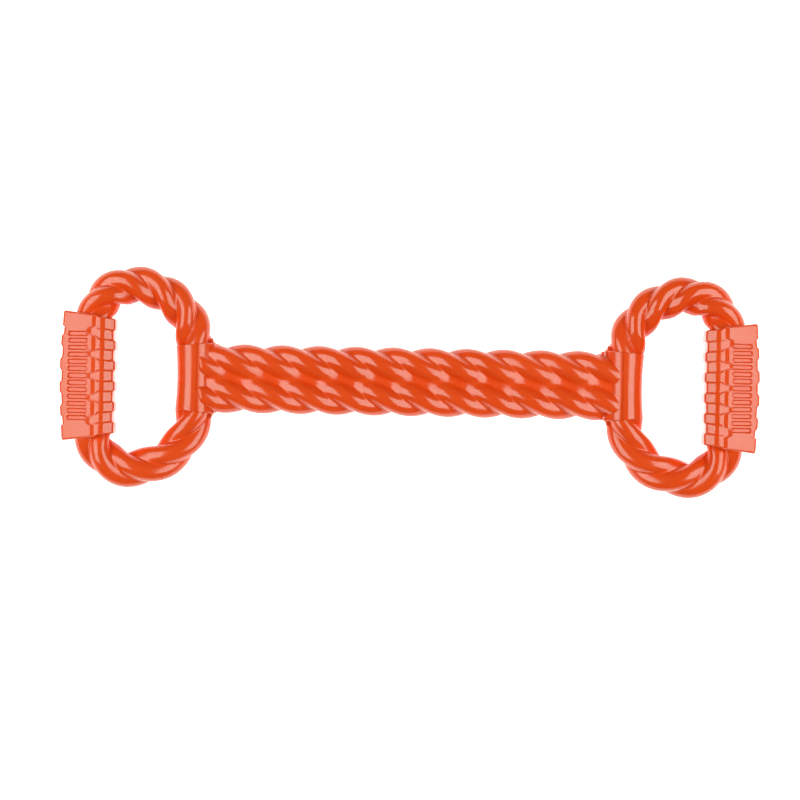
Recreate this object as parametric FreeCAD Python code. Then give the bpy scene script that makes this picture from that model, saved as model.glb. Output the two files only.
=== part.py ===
import FreeCAD, Part
import math
import os
from FreeCAD import Vector

# A dog's tug toy moulded in one rubber: two hand rings joined by a bar of two parallel ropes.
# Millimetres. X runs along the toy, Y across it in its flat plane and Z up; the grips lie on z = 0.
# Left-hand pieces are drawn about their own ring's centre, in the toy's middle plane, and the
# right-hand ones are their mirror image. The bar's two ropes are not mirrored: both twist one way.

# Overall
ring_spacing = 314.0          # between the centres of the two rings

# Rope section, shared by the bar and the rings
strand_count = 3
strand_radius = 6.65
strand_offset = 4.5           # from the rope's axis to each strand's own axis

# Bar
bar_rope_spacing = 17.7       # between the axes of its two ropes
bar_lead = 64.1               # one full turn of a strand
bar_crest_x = -10.0           # where a strand faces +Y
bar_web_thickness = 11.0      # solid web in the valley between the ropes

# Ring: the rope's axis is two arcs that meet at the crown
crown_height = 53.1           # from the ring's centre to the axis
crown_shift = 4.0             # the crown lies this far towards the grip
collar_bend = 36.8            # radius of the arc from the crown to the collar
grip_bend = 21.8              # radius of the arc from the crown to the grip
upper_lead = 55.2
upper_crest = 5.0             # where a strand faces outwards, along the axis from the crown
lower_lead = 69.9
lower_crest = -2.0

# Collar, the smooth tube between the ring and the bar
collar_fan = 5.0              # degrees by which its end faces lean
collar_end_radius = 10.9
collar_waist_radius = 9.9
saddle_step = 0.3             # the hole side stands this proud of the bar side
split_shift = 1.3             # from the tube's axis to the line between the two sides

# Corner webs, between the ring and the bar
web_reach = 4.2               # radius of the hollow corner
web_thickness = 5.0
web_root = 3.0                # how far it starts inside the corner

# Grip sleeve; reaches are taken from the rope's axis where it enters the sleeve
grip_fan = 9.5                # degrees by which its end faces lean
inner_reach = 11.6            # to the wall on the hole side, at mid length
outer_reach = 19.0            # to the outside wall, at mid length
inner_bulge = 0.8             # how much less each wall reaches at the ends
outer_bulge = 4.6
sleeve_height = 13.3          # half thickness at the crest, between the bands
crest_reach = 5.1             # to the middle of the crest, a flat strip on the hole side
crest_width = 2.0             # the toy rests on the strips of the bands
crest_slope = 14.0            # degrees by which the top falls from the crest towards the panel
hole_facet_slope = 28.0       # degrees, from the crest down towards the hole
band_height = 1.1             # the bands stand this proud of the sleeve
band_pitch = 12.4
band_width = 5.0
middle_band_count = 4
end_band_length = 6.1         # from where the end bands start to the end faces
panel_start = -1.4            # the sloping panel leaves the sleeve's top here, between the bands
panel_slope = 26.0            # degrees

# Comb, the grooved strip that is set in each sloping panel
groove_count = 13
groove_pitch = 4.05
groove_width = 2.7
groove_length = 13.1
groove_deep_end = 2.2         # depth at the outside end
groove_shallow_end = 0.6
comb_rim = 0.8                # between the grooves and the strip's edge
comb_floor = 1.2              # under the deepest groove
panel_rim = 3.2               # between the strip and the outside wall

section_step = 15.0           # degrees of twist between two lofted rope sections
beyond = 60.0                 # how far a cutting block runs past what it cuts

# Sizes that follow from those above
up = Vector(0, 0, 1)
across = Vector(0, 1, 0)
crest_radius = strand_offset + strand_radius
half_strand = math.pi / strand_count
groove_radius = (strand_offset * math.cos(half_strand)
                 + math.sqrt(strand_radius ** 2 - (strand_offset * math.sin(half_strand)) ** 2))
collar_turn = math.radians(90.0 - collar_fan)
grip_turn = math.radians(90.0 - grip_fan)
full_height = sleeve_height + band_height
crest_start = crest_reach - crest_width / 2.0
panel_height = sleeve_height - (crest_start - panel_start) * math.tan(math.radians(crest_slope))
bar_axis = bar_rope_spacing / 2.0
bar_half_width = bar_axis + crest_radius


# Solids between two opposite corners
def block(low, high):
    size = Vector(*high) - Vector(*low)
    return Part.makeBox(size.x, size.y, size.z, Vector(*low))


def mirrored(shape, normal):
    return shape.mirror(Vector(0, 0, 0), Vector(*normal))


def largest(shape):
    return max(shape.Solids, key=lambda solid: solid.Volume)


# A prism from a closed outline of points and edges in one plane
def prism(points, direction):
    outline = Part.makePolygon(points + [points[0]])
    return Part.Face(outline).extrude(direction)


# Point on the ring's axis and the way out of the ring there. distance runs along the axis from
# the crown, positive towards the collar; side is 1 on the upper half and -1 on the lower.
def ring_place(distance, side):
    bend = collar_bend if distance >= 0 else grip_bend
    turn = distance / bend
    outward = Vector(math.sin(turn), side * math.cos(turn), 0)
    centre = Vector(-crown_shift, side * (crown_height - bend), 0)
    return centre + outward * bend, outward


# The rope's outline: one arc per strand, meeting in the grooves
def rope_section(centre, outward, twist):
    def at(radius, angle):
        return centre + outward * (radius * math.cos(angle)) + up * (radius * math.sin(angle))

    arcs = []
    for strand in range(strand_count):
        middle = twist + 2.0 * half_strand * strand
        ends = (at(groove_radius, middle - half_strand), at(groove_radius, middle + half_strand))
        arcs.append(Part.Arc(ends[0], at(crest_radius, middle), ends[1]).toShape())
    return Part.Wire(arcs)


# A rope from one distance to another along an axis; place gives a point and a direction
def rope(place, start, end, lead, crest, hand):
    steps = math.ceil(abs(end - start) * 360.0 / abs(lead) / section_step)
    sections = []
    for step in range(steps + 1):
        distance = start + (end - start) * step / steps
        centre, outward = place(distance)
        twist = hand * 2.0 * math.pi * (distance - crest) / lead
        sections.append(rope_section(centre, outward, twist))
    return Part.makeLoft(sections, True, False)


def ring_rope(side, lead, crest):
    start = -grip_bend * grip_turn
    end = collar_bend * collar_turn
    return rope(lambda distance: ring_place(distance, side), start, end, lead, crest, side)


# The round tube between the two ring ropes, waisted at its middle
def collar_tube(extra):
    circles = []
    for side in (-1, 1):
        centre, outward = ring_place(collar_bend * collar_turn, side)
        normal = up.cross(outward) * side
        circles.append(Part.Wire(Part.makeCircle(collar_end_radius + extra, centre, normal)))
    waist = Part.makeCircle(collar_waist_radius + extra, Vector(centre.x, 0, 0), across)
    return Part.makeLoft([circles[0], Part.Wire(waist), circles[1]], True, False)


def collar_pieces():
    split = ring_place(collar_bend * collar_turn, 1)[0].x + split_shift
    hole_side = block((split - beyond, -beyond, -beyond), (split, beyond, beyond))
    saddle = collar_tube(saddle_step).common(hole_side)
    root = collar_tube(0.0).cut(hole_side)
    return saddle, root, split


# What the ring rope leaves free at the collar: a block past the collar's leaning end face
def past_collar(side):
    centre = ring_place(collar_bend * collar_turn, side)[0]
    cutter = block((-crest_radius, 0, -beyond), (crest_radius, crest_radius, beyond))
    cutter.rotate(Vector(0, 0, 0), up, collar_fan)
    if side < 0:
        cutter = mirrored(cutter, (0, 1, 0))
    cutter.translate(centre)
    return cutter


# One of the bar's ropes with its half of the web, cut flat where it meets the other
def bar_rope(side, split, root):
    half_length = ring_spacing / 2.0 - split
    centre_y = side * bar_axis
    twisted = rope(lambda x: (Vector(x, centre_y, 0), across),
                   -half_length, half_length, bar_lead, bar_crest_x, 1)
    web = block((-half_length, 0, -bar_web_thickness / 2.0),
                (half_length, bar_axis, bar_web_thickness / 2.0))
    other_half = block((-ring_spacing, -beyond, -beyond), (ring_spacing, 0, beyond))
    if side < 0:
        web = mirrored(web, (0, 1, 0))
        other_half = mirrored(other_half, (0, 1, 0))
    cutters = [place_on_side(cutter, end) for end in (-1, 1) for cutter in (root, past_collar(side))]
    return largest(twisted.cut(other_half).fuse(web).cut(cutters))


# A small hollow-edged web in the corner between the ring and the bar, before they are cut out of it;
# where the collar is longer than the bar is wide, a strip up the collar's side joins it to the ring
def corner_web(side):
    corner = ring_place(collar_bend * collar_turn, 1)[0] + Vector(crest_radius, 0, 0)
    strip_top = corner.y + web_root
    corner.y = bar_half_width
    low = Vector(corner.x - web_root, corner.y - web_root, -web_thickness / 2.0)
    tip_up = Vector(corner.x, corner.y + web_reach, low.z)
    tip_along = Vector(corner.x + web_reach, corner.y, low.z)
    hollow = web_reach * (1.0 - math.sqrt(0.5))
    middle = Vector(corner.x + hollow, corner.y + hollow, low.z)
    outline = Part.Wire([
        Part.makeLine(low, Vector(low.x, tip_up.y, low.z)),
        Part.makeLine(Vector(low.x, tip_up.y, low.z), tip_up),
        Part.Arc(tip_up, middle, tip_along).toShape(),
        Part.makeLine(tip_along, Vector(tip_along.x, low.y, low.z)),
        Part.makeLine(Vector(tip_along.x, low.y, low.z), low),
    ])
    web = Part.Face(outline).extrude(up * web_thickness)
    if strip_top > tip_up.y:
        web = web.fuse(block((low.x, low.y, low.z), (corner.x, strip_top, -low.z)))
    return web if side > 0 else mirrored(web, (0, 1, 0))


# Moves a left-hand piece from its ring's own frame to the toy's, or its mirror image to the right
def place_on_side(shape, end):
    moved = shape.copy()
    moved.translate(Vector(-ring_spacing / 2.0, 0, 0))
    return moved if end < 0 else mirrored(moved, (1, 0, 0))


# Bulged outline of the sleeve seen from above, grown by extra, as a tall block
def sleeve_plan(entry, extra):
    inner = entry.x + inner_reach + extra
    outer = entry.x - outer_reach - extra
    half = entry.y + outer_reach
    corners = {(wall, end): Vector(x, end * half, -beyond)
               for wall, x in (("inner", inner - inner_bulge), ("outer", outer + outer_bulge))
               for end in (-1, 1)}
    edges = [
        Part.Arc(corners["outer", 1], Vector(outer, 0, -beyond), corners["outer", -1]).toShape(),
        Part.makeLine(corners["outer", -1], corners["inner", -1]),
        Part.Arc(corners["inner", -1], Vector(inner, 0, -beyond), corners["inner", 1]).toShape(),
        Part.makeLine(corners["inner", 1], corners["outer", 1]),
    ]
    return Part.Face(Part.Wire(edges)).extrude(up * 2.0 * beyond)


# The sleeve's section grown by extra, run along Y: a top that falls from the crest towards the
# outside, and a steeper facet on the hole side
def sleeve_run(entry, extra):
    facet = math.radians(hole_facet_slope)
    fall = math.radians(crest_slope)
    crest_height = sleeve_height + extra
    start = crest_start - extra * math.tan(fall / 2.0)
    end = crest_start + crest_width + extra * math.tan(facet / 2.0)
    wall = inner_reach + extra + inner_bulge
    wall_height = crest_height - (wall - end) * math.tan(facet)
    far = -outer_reach - extra - outer_bulge
    far_height = crest_height - (start - far) * math.tan(fall)
    upper = [(far, far_height), (start, crest_height), (end, crest_height), (wall, wall_height)]
    profile = upper + [(reach, -z) for reach, z in reversed(upper)]
    points = [Vector(entry.x + reach, -beyond, z) for reach, z in profile]
    return prism(points, across * 2.0 * beyond)


# Everything above the sloping panel's plane, and its mirror image below
def panel_cutters(entry):
    cutter = block((-beyond, -beyond, 0), (beyond, beyond, beyond))
    cutter.rotate(Vector(0, 0, 0), across, -panel_slope)
    cutter.translate(Vector(entry.x + panel_start, 0, panel_height))
    return [cutter, mirrored(cutter, (0, 0, 1))]


# A slab across the grip from one distance to another, leaning with the fan
def fan_slab(entry, low, high):
    lean = grip_fan * (low + high) / 2.0 / entry.y
    slab = block((-beyond, (low - high) / 2.0, -beyond), (beyond, (high - low) / 2.0, beyond))
    slab.rotate(Vector(0, 0, 0), up, -lean)
    slab.translate(Vector(entry.x, (low + high) / 2.0, 0))
    return slab


# The blocks past two leaning planes, this far back from where the rope enters the sleeve
def past_planes(entry, back):
    cutter = block((-beyond, 0, -beyond), (beyond, beyond, beyond))
    cutter.rotate(Vector(0, 0, 0), up, -grip_fan)
    cutter.translate(entry - across * back)
    return [cutter, mirrored(cutter, (0, 1, 0))]


# A comb lies in the panel's own frame (x up the slope from the outside wall, y along, z out of it)
# and is turned into place
def comb_frame(shape, entry):
    wall_x = -outer_reach
    wall_z = panel_height - (panel_start + outer_reach) * math.tan(math.radians(panel_slope))
    shape.rotate(Vector(0, 0, 0), across, -panel_slope)
    shape.translate(Vector(entry.x + wall_x, 0, wall_z))
    return shape


def comb_block(entry):
    half = groove_pitch * (groove_count - 1) / 2.0 + groove_width / 2.0 + comb_rim
    depth = groove_deep_end + comb_floor
    return comb_frame(block((panel_rim, -half, -depth),
                            (panel_rim + groove_length + 2.0 * comb_rim, half, 0)), entry)


# A round-ended groove whose floor comes up towards the sleeve's crown
def groove(entry, along):
    radius = groove_width / 2.0
    start = panel_rim + comb_rim + radius
    end = panel_rim + comb_rim + groove_length - radius
    tilt = math.degrees(math.atan2(groove_deep_end - groove_shallow_end, groove_length))
    cutter = block((start, -radius, 0), (end, radius, beyond))
    for place in (start, end):
        cutter = cutter.fuse(Part.makeCylinder(radius, beyond, Vector(place, 0, 0)))
    cutter = cutter.removeSplitter()
    cutter.rotate(Vector(start - radius, 0, 0), across, -tilt)
    cutter.translate(Vector(0, along, -groove_deep_end))
    return comb_frame(cutter, entry)


def comb(entry):
    strip = comb_block(entry)
    for number in range(groove_count):
        along = groove_pitch * (number - (groove_count - 1) / 2.0)
        strip = strip.cut(groove(entry, along))
    return strip


def grip_sleeve(entry):
    bands = past_planes(entry, end_band_length)
    for number in range(middle_band_count):
        middle = band_pitch * (number - (middle_band_count - 1) / 2.0)
        bands.append(fan_slab(entry, middle - band_width / 2.0, middle + band_width / 2.0))
    banded = sleeve_plan(entry, band_height).common(sleeve_run(entry, band_height))
    sleeve = sleeve_plan(entry, 0.0).common(sleeve_run(entry, 0.0))
    for slab in bands:
        sleeve = sleeve.fuse(banded.common(slab))
    for cutter in panel_cutters(entry) + past_planes(entry, 0):
        sleeve = sleeve.cut(cutter)
    pocket = comb_block(entry)
    sleeve = sleeve.cut(pocket).cut(mirrored(pocket, (0, 0, 1)))
    return largest(sleeve.removeSplitter())


# Builds every left-hand piece in its ring's own frame
def ring_pieces():
    entry = ring_place(-grip_bend * grip_turn, 1)[0]
    saddle, root, split = collar_pieces()
    front_comb = comb(entry)
    pieces = {
        "ring_upper_rope": ring_rope(1, upper_lead, upper_crest),
        "ring_lower_rope": ring_rope(-1, lower_lead, lower_crest),
        "grip_sleeve": grip_sleeve(entry),
        "grip_front_comb": front_comb,
        "grip_back_comb": mirrored(front_comb, (0, 0, 1)),
        "collar_saddle": saddle,
        "bar_root": root,
    }
    return pieces, split


def build():
    pieces, split = ring_pieces()
    nodes = {"bar_upper_rope": bar_rope(1, split, pieces["bar_root"]),
             "bar_lower_rope": bar_rope(-1, split, pieces["bar_root"])}
    for end, name in ((-1, "left"), (1, "right")):
        for piece, shape in pieces.items():
            nodes[name + "_" + piece] = place_on_side(shape, end)
        webs = []
        for side, half in ((1, "upper"), (-1, "lower")):
            around = ("bar_" + half + "_rope", name + "_ring_" + half + "_rope", name + "_bar_root")
            web = place_on_side(corner_web(side), end).cut([nodes[node] for node in around])
            webs.append(largest(web))
        nodes[name + "_corner_webs"] = Part.makeCompound(webs)
    return nodes


os.makedirs("parts", exist_ok=True)
for node, shape in build().items():
    shape.translate(up * full_height)
    shape.exportStep("parts/" + node + ".step")
    print(node, len(shape.Solids), "solids", round(shape.Volume), "mm3",
          "valid" if shape.isValid() else "NOT VALID")
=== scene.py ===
import math
import bmesh
import bpy
import numpy as np
from mathutils import Matrix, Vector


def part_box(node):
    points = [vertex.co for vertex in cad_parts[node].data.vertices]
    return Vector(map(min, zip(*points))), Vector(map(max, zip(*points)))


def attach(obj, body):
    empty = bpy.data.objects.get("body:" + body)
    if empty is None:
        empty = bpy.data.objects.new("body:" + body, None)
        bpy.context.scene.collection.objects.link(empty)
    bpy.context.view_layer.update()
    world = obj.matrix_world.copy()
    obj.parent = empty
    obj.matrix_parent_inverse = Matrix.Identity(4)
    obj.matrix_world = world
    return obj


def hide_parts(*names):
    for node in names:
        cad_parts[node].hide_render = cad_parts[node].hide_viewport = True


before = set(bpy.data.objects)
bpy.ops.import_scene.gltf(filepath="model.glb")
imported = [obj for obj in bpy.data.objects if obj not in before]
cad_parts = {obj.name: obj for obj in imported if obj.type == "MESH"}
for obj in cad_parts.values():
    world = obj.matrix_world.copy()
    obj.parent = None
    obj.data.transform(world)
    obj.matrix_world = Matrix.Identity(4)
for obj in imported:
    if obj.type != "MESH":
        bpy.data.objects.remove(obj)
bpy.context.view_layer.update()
print("frame loaded")

# sizes are in millimetres, and each mesh is scaled to metres when it is finished
mm = 0.001
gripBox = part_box("left_grip_sleeve")
midHeight = (gripBox[0].z + gripBox[1].z) / 2 / mm  # the mould's middle plane

toyLayout = {
    "ringSpacing": 314.0,
    "crownHeight": 53.1,  # ring centre to the rope's axis at the crown
    "crownShift": 4.0,  # the crown lies this far towards the grip
    "collarBend": 36.8,
    "gripBend": 21.8,
    "collarFan": 5.0,  # lean of the collar's end faces, degrees
    "gripFan": 9.5,
    "splitShift": 1.3,  # collar axis to the fine step line
}
strandSizes = {"Strand radius": 6.65, "Strand offset": 4.5}
collarTurn = math.radians(90 - toyLayout["collarFan"])
gripTurn = math.radians(90 - toyLayout["gripFan"])


# point on the ring's axis; distance runs from the crown, positive towards the collar
def ringPoint(distance, side):
    bend = toyLayout["collarBend"] if distance >= 0 else toyLayout["gripBend"]
    turn = distance / bend
    x = -toyLayout["crownShift"] + bend * math.sin(turn)
    y = toyLayout["crownHeight"] - bend + bend * math.cos(turn)
    return x, side * y, 0.0


collarEnd = ringPoint(toyLayout["collarBend"] * collarTurn, 1)
gripEntry = ringPoint(-toyLayout["gripBend"] * gripTurn, 1)
splitLine = collarEnd[0] + toyLayout["splitShift"]


def linearColour(code):
    parts = [int(code[i:i + 2], 16) / 255 for i in (1, 3, 5)]
    linear = (c / 12.92 if c <= 0.04045 else ((c + 0.055) / 1.055) ** 2.4 for c in parts)
    return (*linear, 1.0)


# a node as an input stands for its first output
def addNode(tree, kind, inputs=(), **settings):
    node = tree.nodes.new(kind)
    for name, value in settings.items():
        setattr(node, name, value)
    pairs = inputs.items() if isinstance(inputs, dict) else enumerate(inputs)
    for socket, value in pairs:
        if isinstance(value, bpy.types.Node):
            value = value.outputs[0]
        if isinstance(value, bpy.types.NodeSocket):
            tree.links.new(value, node.inputs[socket])
        elif value is not None:
            node.inputs[socket].default_value = value
    return node


# moulded thermoplastic rubber: a deep clear orange with a wet-looking mould skin, which gives long
# clean highlights that waver a little where the skin is uneven
rubberFinish = {
    "body": "#EE4613",
    "bodyDeep": "#E23C0C",  # where the pigment lies a little thicker
    "mottleSize": 34.0,
    "waveSize": 9.0,
    "waveHeight": 0.02,
    "grainSize": 0.55,
    "grainHeight": 0.004,
    "roughLow": 0.13,
    "roughHigh": 0.22,
}


def mouldedRubber(name, finish):
    material = bpy.data.materials.new(name)
    material.use_nodes = True
    tree = material.node_tree
    tree.nodes.clear()
    spot = addNode(tree, "ShaderNodeTexCoord").outputs["Object"]
    mottle = addNode(tree, "ShaderNodeTexNoise", {
        "Vector": spot, "Scale": 1 / (finish["mottleSize"] * mm), "Detail": 3.0, "Roughness": 0.55})
    colour = addNode(tree, "ShaderNodeMix", data_type="RGBA")
    tree.links.new(mottle.outputs["Fac"], colour.inputs["Factor"])
    colour.inputs["A"].default_value = linearColour(finish["bodyDeep"])
    colour.inputs["B"].default_value = linearColour(finish["body"])
    wave = addNode(tree, "ShaderNodeTexNoise", {
        "Vector": spot, "Scale": 1 / (finish["waveSize"] * mm), "Detail": 1.5, "Roughness": 0.4})
    grain = addNode(tree, "ShaderNodeTexNoise", {
        "Vector": spot, "Scale": 1 / (finish["grainSize"] * mm), "Detail": 2.0, "Roughness": 0.5})
    waveBump = addNode(tree, "ShaderNodeBump", {
        "Height": wave.outputs["Fac"], "Distance": finish["waveHeight"] * mm, "Strength": 1.0})
    grainBump = addNode(tree, "ShaderNodeBump", {
        "Height": grain.outputs["Fac"], "Distance": finish["grainHeight"] * mm, "Strength": 1.0,
        "Normal": waveBump})
    roughness = addNode(tree, "ShaderNodeMapRange", {
        "Value": mottle.outputs["Fac"], "From Min": 0.3, "From Max": 0.7,
        "To Min": finish["roughLow"], "To Max": finish["roughHigh"]})
    shader = addNode(tree, "ShaderNodeBsdfPrincipled", {
        "Base Color": colour.outputs["Result"], "Roughness": roughness, "Normal": grainBump,
        "IOR": 1.5, "Subsurface Weight": 0.12, "Subsurface Radius": (1.0, 0.22, 0.08),
        "Subsurface Scale": 2.2 * mm})
    addNode(tree, "ShaderNodeOutputMaterial", {"Surface": shader.outputs["BSDF"]})
    return material


rubber = mouldedRubber("glossyOrangeRubber", rubberFinish)
print("material ready")


# starts a tree with one named input for each size, and returns it with its inputs by name
def startTree(name, sizes):
    tree = bpy.data.node_groups.new(name, "GeometryNodeTree")
    tree.interface.new_socket("Geometry", in_out="INPUT", socket_type="NodeSocketGeometry")
    for label, value in sizes.items():
        kind = "NodeSocketInt" if isinstance(value, int) else "NodeSocketFloat"
        tree.interface.new_socket(label, in_out="INPUT", socket_type=kind)
    tree.interface.new_socket("Geometry", in_out="OUTPUT", socket_type="NodeSocketGeometry")
    return tree, addNode(tree, "NodeGroupInput").outputs


def endTree(tree, geometry):
    smooth = addNode(tree, "GeometryNodeSetShadeSmooth", {"Geometry": geometry})
    real = addNode(tree, "GeometryNodeRealizeInstances", [smooth])
    painted = addNode(tree, "GeometryNodeSetMaterial", {"Geometry": real, "Material": rubber})
    addNode(tree, "NodeGroupOutput", [painted])


# runs a tree on a curve or mesh and returns the plain mesh
def runTree(name, data, tree, sizes):
    source = bpy.data.objects.new(name + "Source", data)
    bpy.context.scene.collection.objects.link(source)
    modifier = source.modifiers.new(name, "NODES")
    modifier.node_group = tree
    for item in tree.interface.items_tree:
        if item.in_out == "INPUT" and item.name in sizes:
            modifier[item.identifier] = sizes[item.name]
    evaluated = source.evaluated_get(bpy.context.evaluated_depsgraph_get())
    mesh = bpy.data.meshes.new_from_object(evaluated)
    source.modifiers.remove(modifier)
    bpy.data.objects.remove(source)
    return mesh


# closes, turns outwards and places a mesh as one finished piece; a ring piece is moved out to its
# own ring, and its twin on the right is the mirror image
def finishPiece(mesh, name, ring, sharpAngle, *nodes):
    mesh = mesh.copy()
    mesh.name = name
    shift = 0.0 if ring == "middle" else -toyLayout["ringSpacing"] / 2
    place = Matrix.Scale(mm, 4) @ Matrix.Translation((shift, 0, midHeight))
    if ring == "right":
        place = Matrix.Scale(-1, 4, (1, 0, 0)) @ place
    mesh.transform(place)
    form = bmesh.new()
    form.from_mesh(mesh)
    bmesh.ops.remove_doubles(form, verts=form.verts, dist=1e-7)
    bmesh.ops.recalc_face_normals(form, faces=form.faces)
    form.to_mesh(mesh)
    form.free()
    mesh.shade_smooth()
    mesh.set_sharp_from_angle(angle=math.radians(sharpAngle))
    mesh.materials.clear()
    mesh.materials.append(rubber)
    piece = bpy.data.objects.new(name, mesh)
    bpy.context.scene.collection.objects.link(piece)
    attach(piece, "root")
    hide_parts(*nodes)
    return piece


# a closed mesh from rows of points, each row one loop round the piece
def rowMesh(name, rows):
    count, around = rows.shape[:2]
    faces = [(row * around + i, row * around + (i + 1) % around,
              (row + 1) * around + (i + 1) % around, (row + 1) * around + i)
             for row in range(count - 1) for i in range(around)]
    faces.append(tuple(range(around)))
    faces.append(tuple((count - 1) * around + i for i in range(around)))
    mesh = bpy.data.meshes.new(name)
    mesh.from_pydata(rows.reshape(-1, 3).tolist(), [], faces)
    return mesh


# the ceiling is the furthest that a strand may stand from its rope's axis
ceilingFillet = 0.4
noCeiling = 99.0


# distance from a point to the skin of a three-strand rope, with the grooves filleted
def strandDistanceTree():
    tree = bpy.data.node_groups.new("strandDistance", "GeometryNodeTree")
    for label in ("Across", "Up", "Twist", "Strand radius", "Strand offset", "Groove fillet",
                  "Ceiling"):
        tree.interface.new_socket(label, in_out="INPUT", socket_type="NodeSocketFloat")
    tree.interface.new_socket("Distance", in_out="OUTPUT", socket_type="NodeSocketFloat")
    given = addNode(tree, "NodeGroupInput").outputs
    sector = math.pi / 3
    angle = addNode(tree, "ShaderNodeMath", [given["Up"], given["Across"]], operation="ARCTAN2")
    turned = addNode(tree, "ShaderNodeMath", [angle, given["Twist"]], operation="SUBTRACT")
    folded = addNode(tree, "ShaderNodeMath", [turned, sector, -sector], operation="WRAP")
    nearAngle = addNode(tree, "ShaderNodeMath", [folded], operation="ABSOLUTE")
    nextAngle = addNode(tree, "ShaderNodeMath", [2 * sector, nearAngle], operation="SUBTRACT")
    flat = addNode(tree, "ShaderNodeCombineXYZ", [given["Across"], given["Up"]])
    reach = addNode(tree, "ShaderNodeVectorMath", [flat], operation="LENGTH").outputs["Value"]
    reachSquare = addNode(tree, "ShaderNodeMath", [reach, reach], operation="MULTIPLY")
    squares = addNode(tree, "ShaderNodeMath", [given["Strand offset"], given["Strand offset"],
                                               reachSquare], operation="MULTIPLY_ADD")
    product = addNode(tree, "ShaderNodeMath", [given["Strand offset"], reach], operation="MULTIPLY")
    minusTwice = addNode(tree, "ShaderNodeMath", [product, -2.0], operation="MULTIPLY")
    skins = []
    for strandAngle in (nearAngle, nextAngle):
        cosine = addNode(tree, "ShaderNodeMath", [strandAngle], operation="COSINE")
        square = addNode(tree, "ShaderNodeMath", [cosine, minusTwice, squares],
                         operation="MULTIPLY_ADD")
        centre = addNode(tree, "ShaderNodeMath", [square], operation="SQRT")
        skins.append(addNode(tree, "ShaderNodeMath", [centre, given["Strand radius"]],
                             operation="SUBTRACT"))
    joined = addNode(tree, "ShaderNodeMath", [*skins, given["Groove fillet"]],
                     operation="SMOOTH_MIN")
    overCeiling = addNode(tree, "ShaderNodeMath", [reach, given["Ceiling"]], operation="SUBTRACT")
    held = addNode(tree, "ShaderNodeMath", [joined, overCeiling, ceilingFillet],
                   operation="SMOOTH_MAX")
    addNode(tree, "NodeGroupOutput", [held])
    return tree


strandDistance = strandDistanceTree()


# moves points outwards from their own foot on the axis, step by step, until they reach the skin
def growToSkin(tree, geometry, foot, distance, steps):
    start = addNode(tree, "GeometryNodeRepeatInput", {"Iterations": steps})
    end = addNode(tree, "GeometryNodeRepeatOutput")
    start.pair_with_output(end)
    tree.links.new(geometry, start.inputs["Geometry"])
    spot = addNode(tree, "GeometryNodeInputPosition")
    away = addNode(tree, "ShaderNodeVectorMath", [spot, foot], operation="SUBTRACT")
    ray = addNode(tree, "ShaderNodeVectorMath", [away], operation="NORMALIZE")
    back = addNode(tree, "ShaderNodeMath", [distance, -1.0], operation="MULTIPLY")
    step = addNode(tree, "ShaderNodeVectorMath", {"Vector": ray, "Scale": back}, operation="SCALE")
    moved = addNode(tree, "GeometryNodeSetPosition",
                    {"Geometry": start.outputs["Geometry"], "Offset": step})
    tree.links.new(moved.outputs[0], end.inputs["Geometry"])
    return end.outputs["Geometry"]


# each half ring: a three-strand rope swept along two arcs; the strands' lay differs above and below
ringRopeSizes = {
    "Lead": 55.2,  # one full turn of a strand
    "Crest": 0.0,  # where a strand faces outwards, from the rope's start
    "Phase": 0.0,
    "Groove fillet": 0.9,
    "Around": 108,
    **strandSizes,
}
ringRopes = {
    "upper": {"side": 1, "lead": 55.2, "crest": 5.0},
    "lower": {"side": -1, "lead": 69.9, "crest": -2.0},
}
ringRopeStep = 0.55  # between two sections along the ring
ringRopeGrowSteps = 16


def ringRopeTree():
    tree, size = startTree("ringRope", ringRopeSizes)
    circle = addNode(tree, "GeometryNodeCurvePrimitiveCircle",
                     {"Resolution": size["Around"], "Radius": 2.0})
    spot = addNode(tree, "ShaderNodeSeparateXYZ", [addNode(tree, "GeometryNodeInputPosition")])
    skin = addNode(tree, "GeometryNodeGroup", {"Ceiling": noCeiling}, node_tree=strandDistance)
    tree.links.new(spot.outputs["X"], skin.inputs["Across"])
    tree.links.new(spot.outputs["Y"], skin.inputs["Up"])
    for label in ("Strand radius", "Strand offset", "Groove fillet"):
        tree.links.new(size[label], skin.inputs[label])
    section = growToSkin(tree, circle.outputs["Curve"], (0, 0, 0), skin.outputs["Distance"],
                         ringRopeGrowSteps)
    along = addNode(tree, "GeometryNodeSplineParameter").outputs["Length"]
    past = addNode(tree, "ShaderNodeMath", [along, size["Crest"]], operation="SUBTRACT")
    turns = addNode(tree, "ShaderNodeMath", [past, size["Lead"]], operation="DIVIDE")
    twist = addNode(tree, "ShaderNodeMath", [turns, math.tau, size["Phase"]],
                    operation="MULTIPLY_ADD")
    tilted = addNode(tree, "GeometryNodeSetCurveTilt", {"Curve": size["Geometry"], "Tilt": twist})
    swept = addNode(tree, "GeometryNodeCurveToMesh",
                    {"Curve": tilted, "Profile Curve": section, "Fill Caps": True})
    endTree(tree, swept)
    return tree


def ringRopeLine(name, side, start, end):
    count = round((end - start) / ringRopeStep)
    curve = bpy.data.curves.new(name, "CURVE")
    curve.dimensions = "3D"
    curve.twist_mode = "Z_UP"
    line = curve.splines.new("POLY")
    line.points.add(count)
    for i in range(count + 1):
        line.points[i].co = (*ringPoint(start + (end - start) * i / count, side), 1)
    return curve


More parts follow.
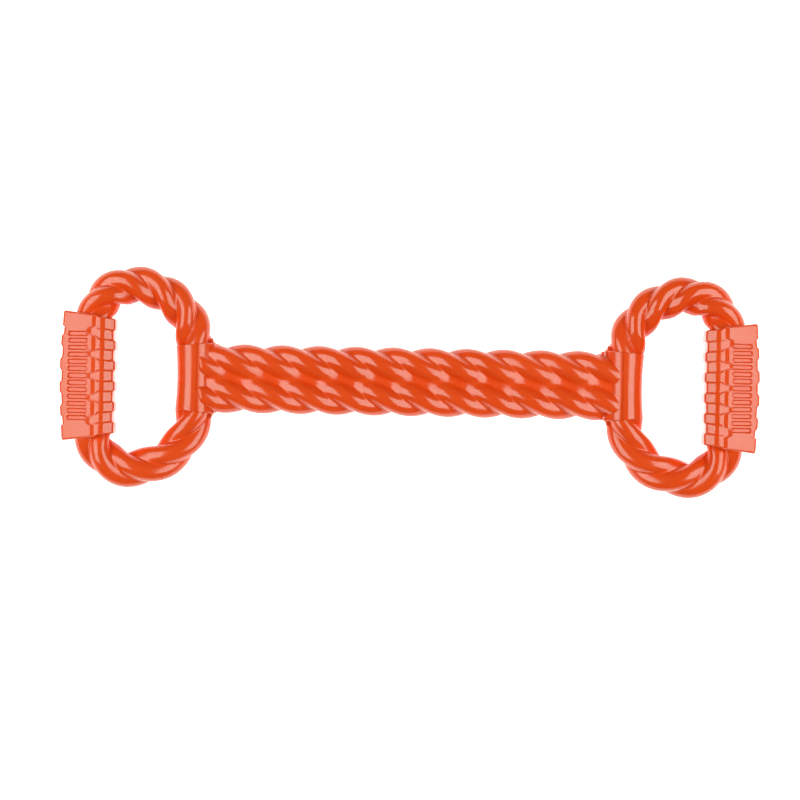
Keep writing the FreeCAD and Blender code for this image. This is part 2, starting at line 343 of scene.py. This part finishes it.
ringRope = ringRopeTree()
for half, lay in ringRopes.items():
    start = -toyLayout["gripBend"] * gripTurn
    end = toyLayout["collarBend"] * collarTurn
    curve = ringRopeLine(half + "RopeLine", lay["side"], start, end)
    sizes = dict(ringRopeSizes, Lead=lay["lead"], Crest=lay["crest"] - start,
                 Phase=math.pi if lay["side"] > 0 else 0.0)
    mesh = runTree(half + "RingRope", curve, ringRope, sizes)
    for ring in ("left", "right"):
        node = ring + "_ring_" + half + "_rope"
        finishPiece(mesh, ring + "RingRope" + half.capitalize(), ring, 50, node)
print("ring ropes done")


# the bar: two ropes side by side, both laid the same way, melted together along the valley
barSizes = {
    "Half length": toyLayout["ringSpacing"] / 2 - splitLine,
    "Rope axis": 8.85,  # each rope's own axis from the bar's middle
    "Lead": 64.1,
    "Crest": -10.0,
    "Groove fillet": 0.5,
    "Valley fillet": 4.5,
    "Web half height": 6.2,
    "Web fillet": 3.5,
    "Tip reach": 9.3,  # the strands rise out of the collar from here, by the slope
    "Tip slope": 0.6,
    "Sections": 470,
    "Around": 204,
    **strandSizes,
}

barGrowSteps = 26


def barTree():
    tree, size = startTree("ropeBar", barSizes)
    minusHalf = addNode(tree, "ShaderNodeMath", [size["Half length"], -1.0], operation="MULTIPLY")
    line = addNode(tree, "GeometryNodeCurvePrimitiveLine",
                   {"Start": addNode(tree, "ShaderNodeCombineXYZ", [minusHalf]),
                    "End": addNode(tree, "ShaderNodeCombineXYZ", [size["Half length"]])})
    level = addNode(tree, "GeometryNodeSetCurveNormal", {"Curve": line}, mode="Z_UP")
    axis = addNode(tree, "GeometryNodeResampleCurve", {"Curve": level, "Count": size["Sections"]})
    core = 2.0
    width = addNode(tree, "ShaderNodeMath", [size["Rope axis"], 2.0, 2 * core],
                    operation="MULTIPLY_ADD")
    oblong = addNode(tree, "GeometryNodeCurvePrimitiveQuadrilateral",
                     {"Width": width, "Height": 2 * core})
    rounded = addNode(tree, "GeometryNodeFilletCurve",
                      {"Curve": oblong, "Radius": core * 0.999, "Count": 24}, mode="POLY")
    profile = addNode(tree, "GeometryNodeResampleCurve",
                      {"Curve": rounded, "Count": size["Around"]})
    tube = addNode(tree, "GeometryNodeCurveToMesh",
                   {"Curve": axis, "Profile Curve": profile, "Fill Caps": True})

    spot = addNode(tree, "ShaderNodeSeparateXYZ", [addNode(tree, "GeometryNodeInputPosition")])
    x, y, z = spot.outputs
    minusAxis = addNode(tree, "ShaderNodeMath", [size["Rope axis"], -1.0], operation="MULTIPLY")
    footY = addNode(tree, "ShaderNodeClamp", [y, minusAxis, size["Rope axis"]])
    foot = addNode(tree, "ShaderNodeCombineXYZ", [x, footY])
    past = addNode(tree, "ShaderNodeMath", [x, size["Crest"]], operation="SUBTRACT")
    turns = addNode(tree, "ShaderNodeMath", [past, size["Lead"]], operation="DIVIDE")
    twist = addNode(tree, "ShaderNodeMath", [turns, math.tau], operation="MULTIPLY")
    farX = addNode(tree, "ShaderNodeMath", [x], operation="ABSOLUTE")
    fromEnd = addNode(tree, "ShaderNodeMath", [size["Half length"], farX], operation="SUBTRACT")
    ceiling = addNode(tree, "ShaderNodeMath", [fromEnd, size["Tip slope"], size["Tip reach"]],
                      operation="MULTIPLY_ADD")
    skins = []
    for ropeY in (size["Rope axis"], minusAxis):
        skin = addNode(tree, "GeometryNodeGroup", node_tree=strandDistance)
        across = addNode(tree, "ShaderNodeMath", [y, ropeY], operation="SUBTRACT")
        tree.links.new(across.outputs[0], skin.inputs["Across"])
        tree.links.new(z, skin.inputs["Up"])
        tree.links.new(twist.outputs[0], skin.inputs["Twist"])
        tree.links.new(ceiling.outputs[0], skin.inputs["Ceiling"])
        for label in ("Strand radius", "Strand offset", "Groove fillet"):
            tree.links.new(size[label], skin.inputs[label])
        skins.append(skin)
    ropes = addNode(tree, "ShaderNodeMath", [*skins, size["Valley fillet"]], operation="SMOOTH_MIN")
    height = addNode(tree, "ShaderNodeMath", [z], operation="ABSOLUTE")
    aside = addNode(tree, "ShaderNodeMath", [y], operation="ABSOLUTE")
    overWeb = addNode(tree, "ShaderNodeMath", [height, size["Web half height"]],
                      operation="SUBTRACT")
    besideWeb = addNode(tree, "ShaderNodeMath", [aside, size["Rope axis"]], operation="SUBTRACT")
    web = addNode(tree, "ShaderNodeMath", [overWeb, besideWeb], operation="MAXIMUM")
    melted = addNode(tree, "ShaderNodeMath", [ropes, web, size["Web fillet"]],
                     operation="SMOOTH_MIN")
    grown = growToSkin(tree, tube.outputs[0], foot, melted, barGrowSteps)
    endTree(tree, grown)
    return tree


barMesh = runTree("ropeBar", bpy.data.meshes.new("barSeed"), barTree(), barSizes)
finishPiece(barMesh, "ropeBar", "middle", 50, "bar_upper_rope", "bar_lower_rope")
print("bar done")


# the collar: a smooth waisted tube, its hole side a hair prouder than its bar side
collarSizes = {
    "endRadius": 10.9,
    "waistRadius": 9.9,
    "step": 0.3,
    "edgeRound": 0.45,  # at the two ends
    "lipRound": 0.2,  # along the step line
    "sections": 90,
    "around": 96,
}


# one side of the collar as rows of D-shaped sections; facing is -1 for the hole side and 1 for the
# bar side
def collarMesh(name, facing):
    size = collarSizes
    extra = size["step"] if facing < 0 else 0.0
    lean = math.tan(math.radians(toyLayout["collarFan"]))
    edge = size["edgeRound"] / collarEnd[1]
    inner = np.linspace(-1 + edge, 1 - edge, size["sections"])
    quarter = np.linspace(0, math.pi / 2, 6)[1:]
    spread = np.concatenate([-(1 - edge + edge * np.sin(quarter))[::-1], inner,
                             1 - edge + edge * np.sin(quarter)])
    shrink = np.concatenate([(1 - np.cos(quarter))[::-1], 0 * inner, 1 - np.cos(quarter)])
    rows = []
    for along, less in zip(spread, shrink):
        radius = (size["waistRadius"] + (size["endRadius"] - size["waistRadius"]) * along ** 2
                  + extra - less * size["edgeRound"])
        flat = toyLayout["splitShift"] * facing  # the split line as this side sees it
        opening = math.acos(flat / radius) - size["lipRound"] / radius
        turn = np.linspace(-opening, opening, size["around"])
        out = np.stack([radius * np.cos(turn), radius * np.sin(turn)], 1)
        lip = [[flat, out[-1, 1] - size["lipRound"]], [flat, out[0, 1] + size["lipRound"]]]
        outline = np.vstack([out, lip])
        x = collarEnd[0] + facing * outline[:, 0]
        y = along * (collarEnd[1] + (x - collarEnd[0]) * lean)
        rows.append(np.stack([x, y, outline[:, 1]], 1))
    return rowMesh(name, np.array(rows))


# small hollow-faced fillets in the two corners between ring and bar, rooted in both ropes
webSizes = {
    "cornerX": 10.2,  # outwards from the collar's axis
    "cornerY": 19.6,
    "reach": 3.6,
    "rooted": 3.0,
    "halfHeight": 3.0,
    "layers": 24,
    "arcPoints": 12,
    "tipShare": 0.1,  # least share of the reach, at the top and the bottom
}


def websMesh():
    size = webSizes
    form = bmesh.new()
    for side in (1, -1):
        rows = []
        for level in np.sin(np.linspace(-1, 1, size["layers"]) * math.pi / 2):
            reach = size["reach"] * max(math.sqrt(max(1 - level ** 2, 0)), size["tipShare"])
            turn = np.linspace(1.0, 1.5, size["arcPoints"]) * math.pi
            arc = reach + reach * np.stack([np.cos(turn), np.sin(turn)], 1)
            deep = -size["rooted"]
            outline = np.vstack([[[deep, reach]], arc, [[reach, deep], [deep, deep]]])
            x = collarEnd[0] + size["cornerX"] + outline[:, 0]
            y = side * (size["cornerY"] + outline[:, 1])
            rows.append(np.stack([x, y, np.full(len(x), level * size["halfHeight"])], 1))
        form.from_mesh(rowMesh("web", np.array(rows)))
    mesh = bpy.data.meshes.new("cornerWebs")
    form.to_mesh(mesh)
    form.free()
    return mesh


for ring in ("left", "right"):
    finishPiece(collarMesh("saddle", -1), ring + "CollarSaddle", ring, 35, ring + "_collar_saddle")
    finishPiece(collarMesh("root", 1), ring + "BarRoot", ring, 35, ring + "_bar_root")
    finishPiece(websMesh(), ring + "CornerWebs", ring, 40, ring + "_corner_webs")
print("collars done")


# the grip: a bulged sleeve with cross bands, and round-ended grooves on each sloping panel
gripSizes = {
    "innerReach": 11.6,  # rope axis to the wall on the hole side
    "outerReach": 19.0,
    "innerBulge": 0.8,
    "outerBulge": 4.6,
    "halfThickness": 13.3,  # between the bands
    "crestX": 5.1,
    "crestWidth": 2.0,
    "crestSlope": 14.0,  # the crown falls this much towards the panel, degrees
    "facetSlope": 28.0,
    "panelStart": -1.4,
    "panelStep": 0.2,  # the panel lies this much lower, behind a steep border
    "borderWidth": 2.4,
    "borderShift": 2.5,  # the bands' border lies this many times their rise nearer the crest
    "crownRise": 0.4,  # share of the bands' rise that is left at the crown
    "panelSlope": 26.0,
    "edgeRound": 1.2,
    "straightHalf": 28.5,  # rows stay square to here, then fan out to the leaning ends
    "rowStep": 0.29,
}
reliefSizes = {
    "Band count": 4,
    "Band pitch": 12.4,
    "Band width": 4.2,
    "Band height": 1.1,
    "Band ramp": 1.8,
    "Band flare": 1.5,  # wider by this where it runs out at the panel
    "End band start": 28.6,
    "Groove count": 13,
    "Groove pitch": 4.05,
    "Groove half width": 1.5,
    "Groove round": 0.5,
    "Groove start": 4.0,
    "Groove length": 13.2,
    "Groove deep end": 1.15,
    "Groove shallow end": 0.95,
    "Outer reach": gripSizes["outerReach"],
}


# section corners across the sleeve at one rise of the bands, at several places along it
def gripCorners(along, rise):
    size = gripSizes
    slope, crest, facet = (math.tan(math.radians(size[key]))
                           for key in ("panelSlope", "crestSlope", "facetSlope"))
    share = (along / (gripEntry[1] + size["outerReach"])) ** 2
    outer = -size["outerReach"] - rise + size["outerBulge"] * share
    inner = size["innerReach"] + rise - size["innerBulge"] * share
    flatStart = size["crestX"] - size["crestWidth"] / 2
    # height of the crown where the panel leaves it
    panelZ = size["halfThickness"] - (flatStart - size["panelStart"]) * crest
    startX = flatStart - rise * math.tan(math.radians(size["crestSlope"] / 2))
    endX = flatStart + size["crestWidth"] + rise * math.tan(math.radians(size["facetSlope"] / 2))
    # the valleys are filled up at the crown, so that the bands stand out less there
    filled = (1 - size["crownRise"]) * reliefSizes["Band height"]
    crestZ = size["halfThickness"] + filled + size["crownRise"] * rise
    borderX = size["panelStart"] + size["borderShift"] * rise
    borderZ = crestZ - (startX - borderX) * crest
    footX = borderX - size["borderWidth"]
    footZ = panelZ - size["panelStep"] + (footX - size["panelStart"]) * slope
    outerZ = panelZ - size["panelStep"] + (outer - size["panelStart"]) * slope
    innerZ = crestZ - (inner - endX) * facet
    ones = np.ones_like(along)
    upper = [(outer, outerZ), (footX * ones, footZ * ones), (borderX * ones, borderZ * ones),
             (startX * ones, crestZ * ones), (endX * ones, crestZ * ones), (inner, innerZ)]
    lower = [(x, -z) for x, z in reversed(upper)]
    return np.array([np.stack(corner, 1) for corner in upper + lower]).transpose(1, 0, 2)


# rounds every corner of the section and divides its sides evenly
def roundedSection(corners):
    upperBack = (1.2, 0.3, 0.35, 0.9, 0.9, 1.6)  # from its corner to each rounding
    back = upperBack + upperBack[::-1]
    turnSteps = (6, 4, 4, 6, 6, 8, 8, 6, 6, 4, 4, 6)
    sideSteps = (66, 5, 14, 3, 10, 10, 10, 3, 14, 5, 66, 10)
    count = len(back)
    points, fades = [], []
    flare = (0.0, 1.0, 1.0, 0.0, 0.0, 0.0, 0.0, 0.0, 0.0, 1.0, 1.0, 0.0)
    starts, ends = [], []
    for i in range(count):
        here, before, after = corners[:, i], corners[:, i - 1], corners[:, (i + 1) % count]
        toBefore = (before - here) / np.linalg.norm(before - here, axis=1, keepdims=True)
        toAfter = (after - here) / np.linalg.norm(after - here, axis=1, keepdims=True)
        starts.append(here + toBefore * back[i])
        ends.append(here + toAfter * back[i])
    for i in range(count):
        for s in np.linspace(0, 1, turnSteps[i] + 1):
            points.append((1 - s) ** 2 * starts[i] + 2 * s * (1 - s) * corners[:, i]
                          + s * s * ends[i])
            fades.append(flare[i])
        following = (i + 1) % count
        for s in np.linspace(0, 1, sideSteps[i] + 1)[1:-1]:
            points.append((1 - s) * ends[i] + s * starts[following])
            fades.append((1 - s) * flare[i] + s * flare[following])
    return np.stack(points, 1), np.array(fades)


def gripSeed():
    size = gripSizes
    half = gripEntry[1]
    edge = size["edgeRound"]
    inner = np.linspace(-half + edge, half - edge, round(2 * (half - edge) / size["rowStep"]))
    quarter = np.linspace(0, math.pi / 2, 6)[1:]
    tail = half - edge + edge * np.sin(quarter)
    along = np.concatenate([-tail[::-1], inner, tail])
    shrink = edge * np.concatenate([(1 - np.cos(quarter))[::-1], 0 * inner, 1 - np.cos(quarter)])
    section, fades = roundedSection(gripCorners(along, 0.0))
    raised = roundedSection(gripCorners(along, 1.0))[0]
    # rounded ends: the last sections draw in along their own normals
    tangent = np.roll(section, -1, 1) - np.roll(section, 1, 1)
    tangent /= np.linalg.norm(tangent, axis=2, keepdims=True)
    inward = np.stack([tangent[:, :, 1], -tangent[:, :, 0]], 2)
    section = section + inward * shrink[:, None, None]
    x, z = section[:, :, 0], section[:, :, 1]
    # beyond the straight part the rows fan out until they lie in the leaning end face
    sign = np.sign(along)[:, None]
    leaning = half - size["straightHalf"]
    far = np.clip((np.abs(along) - size["straightHalf"]) / leaning, 0, 1)[:, None]
    lean = math.tan(math.radians(toyLayout["gripFan"]))
    y = along[:, None] - sign * far * x * lean
    mesh = rowMesh("gripSeed", np.stack([x, y, z], 2))
    move = np.zeros((*x.shape, 3), np.float32)
    move[:, :, 0] = raised[:, :, 0] - roundedSection(gripCorners(along, 0.0))[0][:, :, 0]
    move[:, :, 2] = raised[:, :, 1] - roundedSection(gripCorners(along, 0.0))[0][:, :, 1]
    fanned = y * (1 + x * lean / half)
    fanned = np.where(np.abs(along)[:, None] > size["straightHalf"], along[:, None], fanned)
    mesh.attributes.new("bandMove", "FLOAT_VECTOR", "POINT").data.foreach_set(
        "vector", move.ravel())
    mesh.attributes.new("alongGrip", "FLOAT", "POINT").data.foreach_set(
        "value", fanned.astype(np.float32).ravel())
    mesh.attributes.new("bandFlare", "FLOAT", "POINT").data.foreach_set(
        "value", np.tile(fades, len(along)).astype(np.float32))
    return mesh


def reliefTree():
    tree, size = startTree("gripRelief", reliefSizes)
    along = addNode(tree, "GeometryNodeInputNamedAttribute", {"Name": "alongGrip"},
                    data_type="FLOAT").outputs["Attribute"]
    flare = addNode(tree, "GeometryNodeInputNamedAttribute", {"Name": "bandFlare"},
                    data_type="FLOAT").outputs["Attribute"]
    move = addNode(tree, "GeometryNodeInputNamedAttribute", {"Name": "bandMove"},
                   data_type="FLOAT_VECTOR").outputs["Attribute"]
    spot = addNode(tree, "ShaderNodeSeparateXYZ", [addNode(tree, "GeometryNodeInputPosition")])
    gaps = {}
    # signed distance to the nearest of several evenly spaced lines, for the bands and the grooves
    for kind, where in (("Band", along), ("Groove", spot.outputs["Y"])):
        last = addNode(tree, "ShaderNodeMath", [size[kind + " count"], 1.0], operation="SUBTRACT")
        middle = addNode(tree, "ShaderNodeMath", [last, 0.5], operation="MULTIPLY")
        scaled = addNode(tree, "ShaderNodeMath", [where, size[kind + " pitch"]], operation="DIVIDE")
        raised = addNode(tree, "ShaderNodeMath", [scaled, middle], operation="ADD")
        rounded = addNode(tree, "ShaderNodeMath", [raised], operation="ROUND")
        number = addNode(tree, "ShaderNodeClamp", [rounded, 0.0, last])
        centred = addNode(tree, "ShaderNodeMath", [number, middle], operation="SUBTRACT")
        line = addNode(tree, "ShaderNodeMath", [centred, size[kind + " pitch"]],
                       operation="MULTIPLY")
        gaps[kind] = addNode(tree, "ShaderNodeMath", [where, line], operation="SUBTRACT")

    apart = addNode(tree, "ShaderNodeMath", [gaps["Band"]], operation="ABSOLUTE")
    halfWidth = addNode(tree, "ShaderNodeMath", [size["Band width"], 0.5], operation="MULTIPLY")
    flared = addNode(tree, "ShaderNodeMath", [flare, size["Band flare"], halfWidth],
                     operation="MULTIPLY_ADD")
    foot = addNode(tree, "ShaderNodeMath", [flared, size["Band ramp"]], operation="ADD")
    middleBand = addNode(tree, "ShaderNodeMapRange",
                         {"Value": apart, "From Min": foot, "From Max": flared},
                         interpolation_type="SMOOTHSTEP")
    outwards = addNode(tree, "ShaderNodeMath", [along], operation="ABSOLUTE")
    endFoot = addNode(tree, "ShaderNodeMath", [size["End band start"], size["Band ramp"]],
                      operation="SUBTRACT")
    endBand = addNode(tree, "ShaderNodeMapRange",
                      {"Value": outwards, "From Min": endFoot, "From Max": size["End band start"]},
                      interpolation_type="SMOOTHSTEP")
    band = addNode(tree, "ShaderNodeMath", [middleBand, endBand], operation="MAXIMUM")
    rise = addNode(tree, "ShaderNodeMath", [band, size["Band height"]], operation="MULTIPLY")
    lift = addNode(tree, "ShaderNodeVectorMath", {"Vector": move, "Scale": rise}, operation="SCALE")
    banded = addNode(tree, "GeometryNodeSetPosition",
                     {"Geometry": size["Geometry"], "Offset": lift})

    # up the slope from the outside wall; each groove is a slot with half-round ends
    slope = math.radians(gripSizes["panelSlope"])
    fromWall = addNode(tree, "ShaderNodeMath", [spot.outputs["X"], size["Outer reach"]],
                       operation="ADD")
    upSlope = addNode(tree, "ShaderNodeMath", [fromWall, math.cos(slope)], operation="DIVIDE")
    first = addNode(tree, "ShaderNodeMath", [size["Groove start"], size["Groove half width"]],
                    operation="ADD")
    finish = addNode(tree, "ShaderNodeMath", [size["Groove start"], size["Groove length"]],
                     operation="ADD")
    last = addNode(tree, "ShaderNodeMath", [finish, size["Groove half width"]],
                   operation="SUBTRACT")
    held = addNode(tree, "ShaderNodeClamp", [upSlope, first, last])
    beyond = addNode(tree, "ShaderNodeMath", [upSlope, held], operation="SUBTRACT")
    flat = addNode(tree, "ShaderNodeCombineXYZ", [beyond, gaps["Groove"]])
    fromLine = addNode(tree, "ShaderNodeVectorMath", [flat], operation="LENGTH").outputs["Value"]
    floor = addNode(tree, "ShaderNodeMath", [size["Groove half width"], size["Groove round"]],
                    operation="SUBTRACT")
    open_ = addNode(tree, "ShaderNodeMapRange",
                    {"Value": fromLine, "From Min": size["Groove half width"], "From Max": floor},
                    interpolation_type="SMOOTHSTEP")
    deep = addNode(tree, "ShaderNodeMapRange",
                   {"Value": upSlope, "From Min": size["Groove start"], "From Max": finish,
                    "To Min": size["Groove deep end"], "To Max": size["Groove shallow end"]})
    depth = addNode(tree, "ShaderNodeMath", [open_, deep], operation="MULTIPLY")
    side = addNode(tree, "ShaderNodeMath", [spot.outputs["Z"]], operation="SIGN")
    down = addNode(tree, "ShaderNodeMath", [side, -math.cos(slope)], operation="MULTIPLY")
    inward = addNode(tree, "ShaderNodeCombineXYZ", [math.sin(slope), 0.0, down])
    cut = addNode(tree, "ShaderNodeVectorMath", {"Vector": inward, "Scale": depth},
                  operation="SCALE")
    combed = addNode(tree, "GeometryNodeSetPosition", {"Geometry": banded, "Offset": cut})
    endTree(tree, combed)
    return tree


gripMesh = runTree("grip", gripSeed(), reliefTree(), reliefSizes)
gripMesh.transform(Matrix.Translation((gripEntry[0], 0, 0)))
for ring in ("left", "right"):
    finishPiece(gripMesh, ring + "Grip", ring, 60, ring + "_grip_sleeve", ring + "_grip_front_comb",
                ring + "_grip_back_comb")
print("grips done")


# the studio: a glowing white table and two tall soft panels, left and right
studio = {
    "floor": "#FFFFFF",
    "floorGlow": 0.8,
    "daylight": "#DAFFF5",  # a faintly cool light, which keeps the orange's highlights pale
    "worldStrength": 0.12,
    "panelAway": 1.12,
    "panelHeight": 1.12,
    "panelWidth": 1.05,
    "panelLength": 1.5,
    "panelPower": 27.0,
}


def studioFloor():
    mesh = bpy.data.meshes.new("studioFloor")
    reach = 6.0
    corners = [(-reach, -reach, 0), (reach, -reach, 0), (reach, reach, 0), (-reach, reach, 0)]
    mesh.from_pydata(corners, [], [(0, 1, 2, 3)])
    floor = bpy.data.objects.new("studioFloor", mesh)
    bpy.context.scene.collection.objects.link(floor)
    material = bpy.data.materials.new("whiteTable")
    material.use_nodes = True
    shader = material.node_tree.nodes["Principled BSDF"]
    shader.inputs["Base Color"].default_value = linearColour(studio["floor"])
    shader.inputs["Roughness"].default_value = 0.7
    shader.inputs["Emission Color"].default_value = (1, 1, 1, 1)
    shader.inputs["Emission Strength"].default_value = studio["floorGlow"]
    mesh.materials.append(material)


def softPanel(name, side):
    light = bpy.data.lights.new(name, "AREA")
    light.shape = "RECTANGLE"
    light.size = studio["panelWidth"]
    light.size_y = studio["panelLength"]
    light.energy = studio["panelPower"]
    light.color = linearColour(studio["daylight"])[:3]
    panel = bpy.data.objects.new(name, light)
    bpy.context.scene.collection.objects.link(panel)
    panel.location = (side * studio["panelAway"], 0, studio["panelHeight"])
    panel.rotation_euler = (0, side * math.atan2(studio["panelAway"], studio["panelHeight"]), 0)


studioFloor()
for name, side in (("panelLeft", -1), ("panelRight", 1)):
    softPanel(name, side)
world = bpy.data.worlds.new("studioWorld")
world.use_nodes = True
world.node_tree.nodes["Background"].inputs["Color"].default_value = linearColour(studio["daylight"])
world.node_tree.nodes["Background"].inputs["Strength"].default_value = studio["worldStrength"]
bpy.context.scene.world = world
bpy.context.scene.view_settings.view_transform = "Standard"

# straight above, turned a little and off the toy's middle
cameraSizes = {
    "lens": 180.0,
    "frameWidth": 463.0,  # what the frame spans at the toy's middle plane
    "turn": 1.13,
    "right": -5.6,
    "up": -10.4,
}
turn = math.radians(cameraSizes["turn"])
camera = bpy.data.objects.new("topCamera", bpy.data.cameras.new("topCamera"))
bpy.context.scene.collection.objects.link(camera)
camera.data.lens = cameraSizes["lens"]
away = cameraSizes["frameWidth"] * cameraSizes["lens"] / camera.data.sensor_width
camera.location = (
    (cameraSizes["right"] * math.cos(turn) - cameraSizes["up"] * math.sin(turn)) * mm,
    (cameraSizes["right"] * math.sin(turn) + cameraSizes["up"] * math.cos(turn)) * mm,
    (away + midHeight) * mm,
)
camera.rotation_euler = (0, 0, turn)
camera.data.clip_end = 20.0
bpy.context.scene.camera = camera
print("studio ready")
